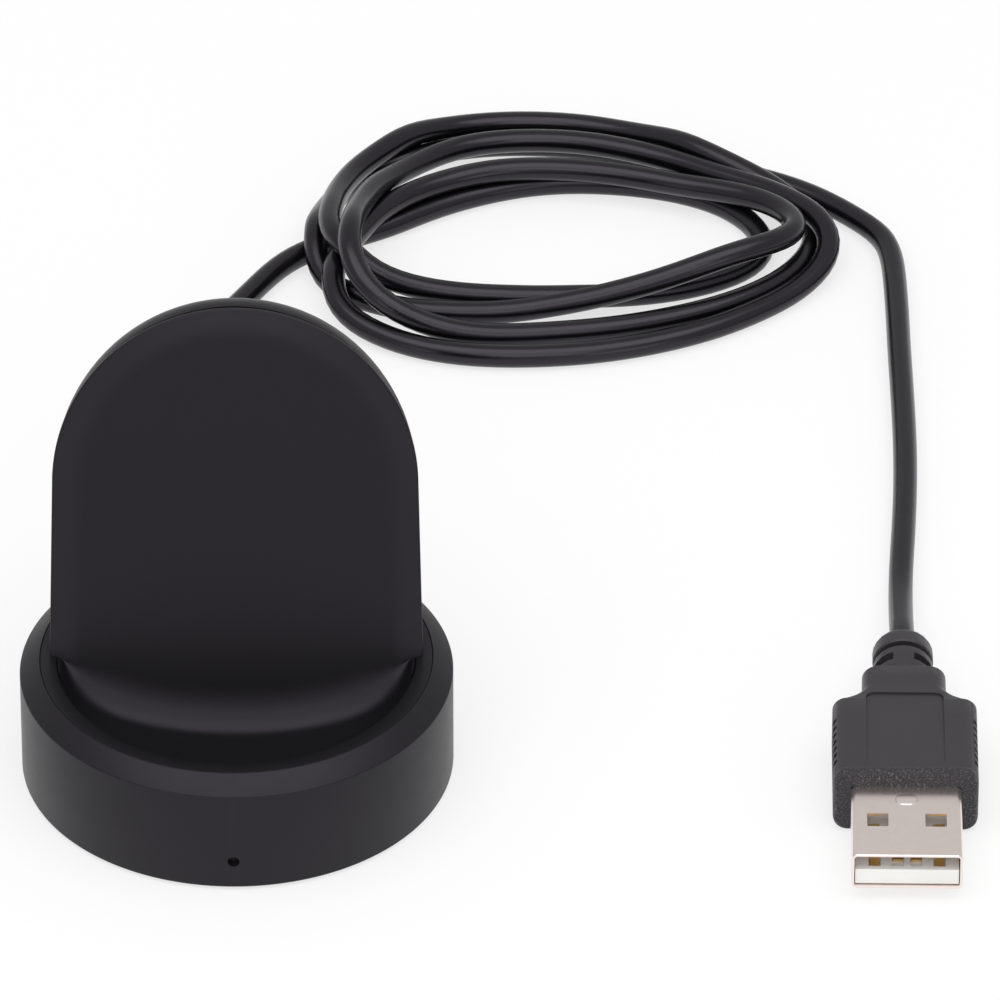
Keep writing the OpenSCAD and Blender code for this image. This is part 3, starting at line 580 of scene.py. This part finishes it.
# The coil, turn by turn as it was wound, at 16 places in each turn, clockwise from the left: how far
# from the middle of the coil the cord is seen on the table, and how high it lies. Distances across
# are stretched by COIL_WIDE.
COIL_MID = (37.0, 102.0)
COIL_WIDE = 1.5
COIL_STEP = 22.5
COIL_TURNS = [
    (
        (15, 11.9, 10.4, 10, 10.1, 10.4, 11.6, 13, 14.5, 15.8, 15.2, 14.3, 13.9, 14.8, 16.6, 18),
        (1.4, 1.4, 1.4, 1.4, 1.4, 1.4, 1.4, 1.4, 1.4, 1.4, 1.4, 1.4, 1.4, 1.4, 2.4, 5),
    ),
    (
        (18.7, 19.8, 21.9, 23.8, 22.6, 20.3, 18.6, 18.4, 19, 19.2, 19.4, 19.8, 21, 22.6, 20.6, 18.2),
        (6.2, 5, 3.8, 2.8, 2.6, 3.2, 3.6, 2.8, 1.7, 1.4, 1.4, 1.4, 1.4, 2.4, 5.2, 8),
    ),
    (
        (17.2, 17.4, 18.3, 19.8, 18.9, 17.2, 16.6, 18.2, 20, 20.8, 21.7, 23.4, 25.5, 26.9, 24.5, 19.7),
        (9, 7, 4.9, 3.8, 3.5, 3.5, 3.8, 4.4, 4, 2.6, 1.5, 1.4, 1.4, 1.4, 2.6, 4),
    ),
    (
        (16.4, 15.2, 14.3, 13.7, 12.9, 12.5, 13.2, 16.4, 17.5, 13.2, 12.2, 12.7, 14.7, 18.5, 21.4, 21),
        (3.8, 3.9, 4.1, 4.2, 4.2, 4, 4, 4.3, 6.2, 7.2, 5.4, 3.8, 2.5, 1.5, 1.4, 2.4),
    ),
    (
        (19.8, 19.6, 20.3, 19.3, 17.6, 16.4, 17.3, 20.1, 23.6),
        (3.4, 1.6, 1.4, 1.4, 1.4, 1.4, 1.4, 1.4, 1.4),
    ),
]
STRAND_GAP = 2.78
LEAST_BEND = 6.5


def coil_route():
    """Points of the coil, lifted from the table along the line of sight to their heights."""
    eye = np.array(bpy.context.scene.camera.location) / MM
    low = CORD_D / 2
    points = []
    for turn, (distances, heights) in enumerate(COIL_TURNS):
        for place, (distance, height) in enumerate(zip(distances, heights)):
            angle = math.radians(-180 - 360 * turn - COIL_STEP * place)
            seen = np.array(
                (
                    COIL_MID[0] + COIL_WIDE * distance * math.cos(angle),
                    COIL_MID[1] + distance * math.sin(angle),
                    low,
                )
            )
            points.append(seen + (eye - seen) * (height - low) / (eye[2] - low))
    return points


def smooth_line(points, per_span=10):
    """A smooth line through points."""
    p = np.array([points[0], *points, points[-1]], float)
    t = np.linspace(0, 1, per_span, endpoint=False)[:, None]
    spans = []
    for i in range(1, len(p) - 2):
        a, b, c, d = p[i - 1], p[i], p[i + 1], p[i + 2]
        spans.append(
            0.5
            * (
                2 * b
                + (c - a) * t
                + (2 * a - 5 * b + 4 * c - d) * t**2
                + (3 * b - a - 3 * c + d) * t**3
            )
        )
    return np.vstack([*spans, p[-1:]])


def even_line(line, count):
    """The same line with evenly spaced points."""
    run = np.r_[0, np.cumsum(np.linalg.norm(np.diff(line, axis=0), axis=1))]
    at = np.linspace(0, run[-1], count)
    return np.stack([np.interp(at, run, line[:, k]) for k in range(3)], 1)


def settled(line, rounds=600, held=8):
    """The line laid on the table: strands a diameter apart, curves eased, no bend under LEAST_BEND,
    and each point kept near its line of sight, so that the coil looks as in the photograph."""
    count = len(line)
    eye = np.array(bpy.context.scene.camera.location) / MM
    sight = line - eye
    sight /= np.linalg.norm(sight, axis=1)[:, None]
    spacing = np.linalg.norm(np.diff(line, axis=0), axis=1).mean()
    most = spacing**2 / (2 * LEAST_BEND)
    index = np.arange(count)
    later = index[:, None] + int(8 / spacing) < index[None]
    free = slice(held, count - held)
    place = line.copy()
    for turn in range(rounds):
        if turn % 6 == 0:
            square = (place**2).sum(1)
            apart = square[:, None] + square[None] - 2 * place @ place.T
            first, second = np.nonzero((apart < (1.5 * STRAND_GAP) ** 2) & later)
        bend = np.zeros_like(place)
        bend[1:-1] = (place[:-2] + place[2:]) / 2 - place[1:-1]
        ease = np.zeros_like(place)
        ease[1:-1] = (bend[:-2] + bend[2:]) / 2 - bend[1:-1]
        sharp = np.clip(np.linalg.norm(bend, axis=1) / most - 1, 0, 1)
        sharp = np.convolve(sharp, np.full(7, 1 / 7), "same")[:, None]
        moved = place - 0.4 * ease + 0.5 * sharp * bend
        along = ((moved - eye) * sight).sum(1)[:, None]
        hold = 0.02 * (1 - np.clip(10 * sharp, 0, 1))
        moved += hold * (eye + sight * along - moved) + 0.001 * sight
        place[free] = moved[free]
        for _ in range(2):
            gap = place[first] - place[second]
            size = np.linalg.norm(gap, axis=1)
            close = size < STRAND_GAP
            push = gap[close] / size[close][:, None] * (STRAND_GAP - size[close])[:, None] / 2
            total, hits = np.zeros_like(place), np.zeros(count)
            np.add.at(total, first[close], push)
            np.add.at(total, second[close], -push)
            np.add.at(hits, first[close], 1)
            np.add.at(hits, second[close], 1)
            total /= np.maximum(hits, 1)[:, None]
            place[free] += total[free]
            place[:, 2] = np.maximum(place[:, 2], CORD_D / 2 + 0.02)
    return place


def make_cord():
    """The lead as one tube along its settled line."""
    route = smooth_line([*LEAD_ROUTE, *coil_route(), *TAIL_ROUTE])
    line = settled(even_line(route, 560))
    curve = bpy.data.curves.new("lead", "CURVE")
    curve.dimensions = "3D"
    curve.bevel_depth = CORD_D / 2 * MM
    curve.bevel_resolution = 6
    curve.use_fill_caps = True
    spline = curve.splines.new("POLY")
    spline.points.add(len(line) - 1)
    for point, (x, y, z) in zip(spline.points, line):
        point.co = (x * MM, y * MM, z * MM, 1)
    spline.use_smooth = True
    curve.materials.append(MATERIALS["cord_jacket"])
    cord = bpy.data.objects.new("lead", curve)
    bpy.context.scene.collection.objects.link(cord)
    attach(cord, "root")
    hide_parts("cord_lead", "cord_coil", "cord_tail")
    length = np.linalg.norm(np.diff(line, axis=0), axis=1).sum() * MM
    return cord, line, float(length)


def make_base():
    shelf_z = LEDGE_Z - LEDGE_T
    inner = BASE_R - BASE_WALL
    profile = rounded(
        [
            (inner, BASE_LIFT), (BASE_R, BASE_LIFT), (BASE_R, BASE_H - CHAMFER_H),
            (LEDGE_R, BASE_H), (LEDGE_R, shelf_z), (inner - 1.1, shelf_z),
            (inner - 1.1, shelf_z - 1), (inner, shelf_z - 2.1),
        ],
        [0.1, 0.35, 0.22, 0.06, 0, 0, 0, 0],
        closed=True,
    )
    base = piece("base_shell", *lathe(profile, 256, closed=True), "base_plastic", ["base_ring"])
    front = Matrix.Translation((0, -inner + 1, LIGHT_Z)) @ Matrix.Rotation(math.pi / 2, 4, "X")
    back = Matrix.Translation((0, inner - 1, RELIEF_Z)) @ Matrix.Rotation(-math.pi / 2, 4, "X")
    cut(base, [rod(LIGHT_D / 2, 4, front, 32), rod(RELIEF_HOLE_D / 2, 4, back)])
    return base


def on_pad(x, up, out):
    """A point of the leaning pad, from across, up the slope and out of the front."""
    return (
        x,
        PART_Y + up * math.sin(LEAN) - out * math.cos(LEAN),
        LEDGE_Z + up * math.cos(LEAN) + out * math.sin(LEAN),
    )


def pad_outline(inset, side=14, arch=80):
    """Outline of the pad from the left foot over the top to the right foot, as across and up."""
    half, radius = FOOT_HALF - inset, ARCH_R - inset
    left = [(-half, -PAD_SINK)]
    for k in range(side):
        up = PAD_FOOT + (ARCH_UP - PAD_FOOT) * k / side
        left.append((-(half + (radius - half) * max(up, 0.0) / ARCH_UP), up))
    top = []
    for k in range(arch + 1):
        angle = math.pi * (1 - k / arch)
        top.append((radius * math.cos(angle), ARCH_UP + radius * math.sin(angle)))
    right = [(-x, up) for x, up in reversed(left)]
    return left + top + right


def pad_rings():
    """Rim, soft bevel and raised face of the pad, as inset and height out of the parting plane."""
    return [
        (1.0, -0.6), (1.0, 0.0), (0.05, 0.0), (0.0, 0.05), (0.0, 0.25), (0.03, 0.36),
        (0.12, 0.43), (0.3, 0.47), (0.8, 0.62), (1.3, 0.77), (1.8, 0.91), (2.3, 1.02),
        (2.7, 1.085), (3.0, 1.12), (3.25, 1.142), (PLATEAU_INSET, PAD_FACE),
    ]


def pad_skin():
    """Bevelled rim of the pad, and its flat face down to the line where the trough curve ends."""
    rows = [[on_pad(x, up, out) for x, up in pad_outline(inset)] for inset, out in pad_rings()]
    verts, faces = sheet_of(rows)
    count = len(rows[0])
    last = (len(rows) - 1) * count
    start = len(verts)
    foot = [x for x in trough_columns() if abs(x) < FOOT_HALF - PLATEAU_INSET - 0.05]
    verts += [on_pad(x, PAD_FOOT, PAD_FACE) for x in foot]
    ring = [last + k for k in range(1, count - 1)]
    faces.append(tuple(ring + [start + k for k in reversed(range(len(foot)))]))
    return verts, faces


def trough_line(x, top, floor_z, flat=22, bend=18, straight=8):
    """One line of the trough from its front wall, along the floor and up the curve to the pad."""
    wall = -math.sqrt(max(0.0, TROUGH_R**2 - x * x))
    corner = top - (LEDGE_Z - floor_z) * math.tan(LEAN)
    reach = max(corner - wall, 0.03)
    climb = max(LEDGE_Z - floor_z, 0.03) / math.cos(LEAN)
    start = min(HOLLOW_REACH, 0.5 * reach)
    end = min(1.9 * HOLLOW_REACH, 0.8 * climb)
    line = [(x, corner - reach + (reach - start) * k / flat, floor_z) for k in range(flat)]
    for k in range(bend):
        t = k / bend
        parts = (1 - t) ** 2, 1.62 * t * (1 - t), t * t
        total = sum(parts)
        y = corner + (end * math.sin(LEAN) * parts[2] - start * parts[0]) / total
        line.append((x, y, floor_z + end * math.cos(LEAN) * parts[2] / total))
    for k in range(straight):
        rise = end + (climb - end) * k / straight
        line.append((x, corner + rise * math.sin(LEAN), floor_z + rise * math.cos(LEAN)))
    return line


def trough_columns(columns=72):
    """Places across the trough, closer to each other at its two ends."""
    edge = TROUGH_R - 0.02
    return [edge * math.sin(math.pi * (c / columns - 0.5)) for c in range(columns + 1)]


def trough_skin():
    """Floor of the strap trough, dished up to its two ends, and the curve that runs up the pad."""
    lines = []
    for x in trough_columns():
        over = max(0.0, abs(x) - (FOOT_HALF - BEVEL_W))
        out = PAD_FACE - BEVEL_T * over / BEVEL_W
        top = PART_Y - out / math.cos(LEAN)
        share = abs(x) / TROUGH_R
        dish = (1 - math.sqrt(max(0.0, 1 - share * share))) * (1 + 0.3 * share**6)
        floor_z = TROUGH_FLOOR + (LEDGE_Z - TROUGH_FLOOR) * min(dish, 1.0)
        line = trough_line(x, top, floor_z)
        line.append(on_pad(x, -out * math.tan(LEAN), out))
        lines.append(line)
    return sheet_of(lines)


def make_cradle():
    outer = LEDGE_R - 0.03
    low = LEDGE_Z - LEDGE_T
    ledge = rounded(
        [(outer, low), (outer, LEDGE_Z), (TROUGH_R, LEDGE_Z), (TROUGH_R, low)],
        [0, 0.06, 0.28, 0],
    )
    wall = [(TROUGH_R, low), (TROUGH_R, TROUGH_FLOOR + 0.4), (TROUGH_R - 0.4, TROUGH_FLOOR)]
    parts = [lathe(ledge, 256), lathe(wall, 128, 180, 180), trough_skin(), pad_skin()]
    return piece("cradle", *join_parts(parts), "cradle_plastic", ["cradle_front"], angle=28)


def pad_half(up):
    """Half width of the pad at a height up its slope."""
    if up <= ARCH_UP:
        return FOOT_HALF + (ARCH_R - FOOT_HALF) * up / ARCH_UP
    return math.sqrt(max(0.0, ARCH_R**2 - (up - ARCH_UP) ** 2))


def make_rear_shell(rows=40, columns=72):
    """Back of the pad: level curves from one side of the parting line round to the other."""
    crown_up = ARCH_UP + ARCH_R
    crown_y = PART_Y + SEAM + crown_up * math.sin(LEAN)
    top = LEDGE_Z + crown_up * math.cos(LEAN) - SHELL_STEP
    lines = []
    for i in range(rows):
        z = LEDGE_Z + (top - LEDGE_Z) * math.sin(math.pi / 2 * i / rows)
        up = (z - LEDGE_Z) / math.cos(LEAN)
        front = PART_Y + SEAM + up * math.sin(LEAN)
        half = max(0.1, pad_half(up + SHELL_STEP * up / crown_up) - SHELL_STEP)
        back = FOOT_HALF
        if z > CROWN_Z:
            fall = math.sqrt(max(0.0, 1 - ((z - CROWN_Z) / (top - CROWN_Z)) ** 2))
            back = crown_y + (back - crown_y) * fall
        depth = max(0.1, back - front)
        line = []
        for j in range(columns + 1):
            angle = math.pi * j / columns
            line.append((half * math.cos(angle), front + depth * math.sin(angle), z))
        # The front edge turns in, so that an open seam parts it from the rim
        turn = min(0.5, 0.6 * half)
        line.insert(0, (line[0][0] - turn, front, z))
        line.append((line[-1][0] + turn, front, z))
        lines.append(line)
    tip = (0, PART_Y + SEAM + (top - LEDGE_Z) * math.tan(LEAN), top)
    lines.append([tip] * len(lines[0]))
    return piece("rear_shell", *sheet_of(lines), "rear_shell_plastic", ["cradle_back"])


def make_grommet():
    """Strain relief: collar at the wall and a ribbed sleeve that droops to the table."""
    sleeve = []
    tip_d = CORD_D + 1.2
    root_d = RELIEF_HOLE_D - 0.6
    length = RELIEF_LEN - 1.2
    for i in range(6):
        at = -0.6 + 1.5 * i
        for along, rib in ((0.0, 0.0), (0.12, 0.3), (0.75, 0.34), (0.95, 0.05), (1.35, 0.0)):
            share = (at + along + 0.6) / length
            radius = (root_d + (tip_d - root_d) * min(share, 1)) / 2
            sleeve.append((radius + (rib if i < 5 else 0), min(at + along, length - 0.6)))
    sleeve += [(tip_d / 2 - 0.15, length - 0.45), (CORD_D / 2, length - 0.4)]
    droop = Matrix.Translation((0, BASE_R + 1, RELIEF_Z)) @ Matrix.Rotation(math.radians(-99), 4, "X")
    verts, faces = lathe(sleeve, 64)
    parts = [([droop @ Vector(v) for v in verts], faces)]
    collar = rounded([(2.5, -1.2), (2.5, 0), (2.9, 0), (2.9, 1), (1.2, 1)], [0, 0, 0.2, 0.35, 0])
    straight = Matrix.Translation((0, BASE_R, RELIEF_Z)) @ Matrix.Rotation(-math.pi / 2, 4, "X")
    verts, faces = lathe(collar, 64)
    parts.append(([straight @ Vector(v) for v in verts], faces))
    return piece("strain_relief", *join_parts(parts), "grommet_rubber", ["cable_grommet"])


PLUG = Matrix.Translation(PLUG_AT) @ Matrix.Rotation(PLUG_TURN, 4, "Z")


def section(width, height, radius, y, steps=6):
    """A round-cornered section of the plug across its length."""
    outline = box_outline(width, height, max(radius, 0.01), steps)
    return [(x, y, z) for x, z in outline]


def plug_body_sections():
    """Sections of the plug's grip from its mouth to the end of the neck: y, width, height, corner."""
    mouth = [
        (0.0, 14.9, 6.8, 1.2), (0.12, 15.3, 7.2, 1.35), (0.4, 15.65, 7.55, 1.5),
        (0.8, BODY_W, BODY_T, 1.6), (1.6, BODY_W, BODY_T, 1.6), (6.0, BODY_W, BODY_T, 1.6),
        (11.0, BODY_W, BODY_T, 1.6), (14.0, BODY_W, BODY_T, 1.6), (14.1, 15.65, 7.65, 1.55),
    ]
    flare = []
    end = BODY_LEN + SHOULDER_LEN
    for k in range(13):
        t = k / 12
        parts = (1 - t) ** 2, 2 * t * (1 - t), t * t
        y = BODY_LEN * parts[0] + (BODY_LEN + 0.58 * SHOULDER_LEN) * parts[1] + end * parts[2]
        width = 15.4 * parts[0] + WAIST_W * (parts[1] + parts[2])
        flare.append((y, width, BODY_T + (WAIST_T - BODY_T) * min(1.0, 0.4 + 2 * t), 1.5))
    waist = [
        (end + 1.2, WAIST_W, WAIST_T, 1.6), (end + 3.0, WAIST_W, WAIST_T, 1.8),
        (end + 3.2, WAIST_W - 0.25, WAIST_T - 0.1, 2.2), (end + 3.3, WAIST_W - 0.8, 6.75, 2.6),
    ]
    start = end + 3.35
    neck = []
    for y, width in (
        (start, 6.4), (start + 0.3, NECK_D), (24.6, NECK_D), (24.75, 6.4), (24.8, 5.2), (25.6, 5.2),
        (25.65, 6.4), (25.8, NECK_D), (27.4, NECK_D), (27.8, 6.4), (NECK_END, 5.9),
        (NECK_END, 3.2), (NECK_END - 0.5, 3.0),
    ):
        neck.append((y, width, width, width / 2 - 0.01))
    return [(y + GRIP_BACK, w, h, r) for y, w, h, r in mouth + flare + waist + neck]


def make_plug_body():
    rows = [section(w, h, r, y) for y, w, h, r in plug_body_sections()]
    verts, faces = sheet_of(rows, closed=True)
    count = len(rows[0])
    faces.append(tuple(range(count)))
    faces.append(tuple(len(verts) - 1 - k for k in range(count)))
    body = piece(
        "plug_grip", verts, faces, "plug_overmould", ["plug_body"], at=PLUG
    )
    cutters = []
    panel = box_outline(8.5, 14.2, 1.0)
    for side in (1, -1):
        flip = Matrix.Rotation(0.0 if side > 0 else math.pi, 4, "Y")
        slope = Matrix.Rotation(math.radians(-2.0), 4, "X")
        place = PLUG @ Matrix.Translation((0, 9.3, side * (BODY_T / 2 - 0.3))) @ flip @ slope
        cutters.append(rod(0, 2.0, place, shape=panel))
    for side in (1, -1):
        for k in range(7):
            place = PLUG @ Matrix.Translation((side * BODY_W / 2, GRIP_BACK + 3.2 + 1.25 * k, -3.6))
            cutters.append(rod(0, 7.2, place, shape=box_outline(0.9, 0.6, 0.1, 2)))
    for side in (1, -1):
        place = PLUG @ Matrix.Translation((side * 2.35, GRIP_BACK + 23.0, -4))
        cutters.append(rod(0, 8, place, shape=box_outline(2.5, 1.3, 0.2, 2)))
    seat = PLUG @ Matrix.Translation((0, GRIP_BACK + 4, 0)) @ Matrix.Rotation(math.pi / 2, 4, "X")
    cutters.append(rod(0, 5, seat, shape=box_outline(SHELL_W, SHELL_H, 0.4)))
    cut(body, cutters)
    return body


def make_plug_shell():
    """Folded metal shell with windows and a soft front lip. Its bead is made as a piece of its own by
    make_bead.
    """
    stations = [(-SHELL_LEN, -0.14), (-SHELL_LEN + 0.06, -0.03), (-SHELL_LEN + 0.16, 0.0)]
    stations += [(-9.0, 0.0), (-6.0, 0.0), (-3.0, 0.0), (3.8, 0.0)]
    outer = [section(SHELL_W + grow, SHELL_H + grow, 0.55, y) for y, grow in stations]
    thick = 2 * SHELL_T
    inner = [
        section(SHELL_W - thick, SHELL_H - thick, 0.3, y)
        for y in (3.8, -3.0, -6.0, -9.0, -SHELL_LEN + 0.4, -SHELL_LEN + 0.05)
    ]
    rows = outer + inner + [outer[0]]
    verts, faces = sheet_of(rows, closed=True)
    shell = piece("plug_sleeve", verts, faces, "plug_steel", ["plug_shell"], at=PLUG)
    cutters = []
    for side in (1, -1):
        place = PLUG @ Matrix.Translation((side * 3.15, -SHELL_LEN + 5.2 + 1.15, -4))
        cutters.append(rod(0, 8, place, shape=box_outline(2.3, 2.3, 0.12, 3)))
    cut(shell, cutters)
    return shell


def make_bead():
    """Oval bead pressed up in the middle of the metal shell."""
    rows = []
    for inset, up in ((0.0, -0.05), (0.0, 0.03), (0.05, 0.09), (0.22, 0.12)):
        outline = box_outline(2.4 - 2 * inset, 1.8 - 2 * inset, 0.8 - inset, 6)
        rows.append([(x, y - 1.6, SHELL_H / 2 + up) for x, y in outline])
    verts, faces = sheet_of(rows, closed=True)
    count = len(rows[0])
    faces.append(tuple(3 * count + k for k in range(count)))
    return piece("shell_bead", verts, faces, "plug_steel", at=PLUG)


make_camera()
make_floor()
make_world(0.6)
lamp("overhead", (0.03, -0.25, 1.15), (0.03, 0.03, 0.0), 1.8, 8.6, 0.95)
lamp("front", (0.0, -1.0, 0.8), (0.0, 0.0, 0.02), 0.9, 2.2, 0.5)
lamp("front_left", (-0.52, -0.86, 0.2), (0.0, 0.0, 0.03), 0.4, 0.55, 0.3)
lamp("front_right", (0.52, -0.86, 0.2), (0.0, 0.0, 0.03), 0.4, 0.55, 0.3)

finish_nodes()
lead, lead_line, lead_length = make_cord()
make_base()
make_cradle()
make_rear_shell()
grommet = make_grommet()
grip = make_plug_body()
sleeve = make_plug_shell()
bead = make_bead()
print("lead length", round(lead_length, 4))
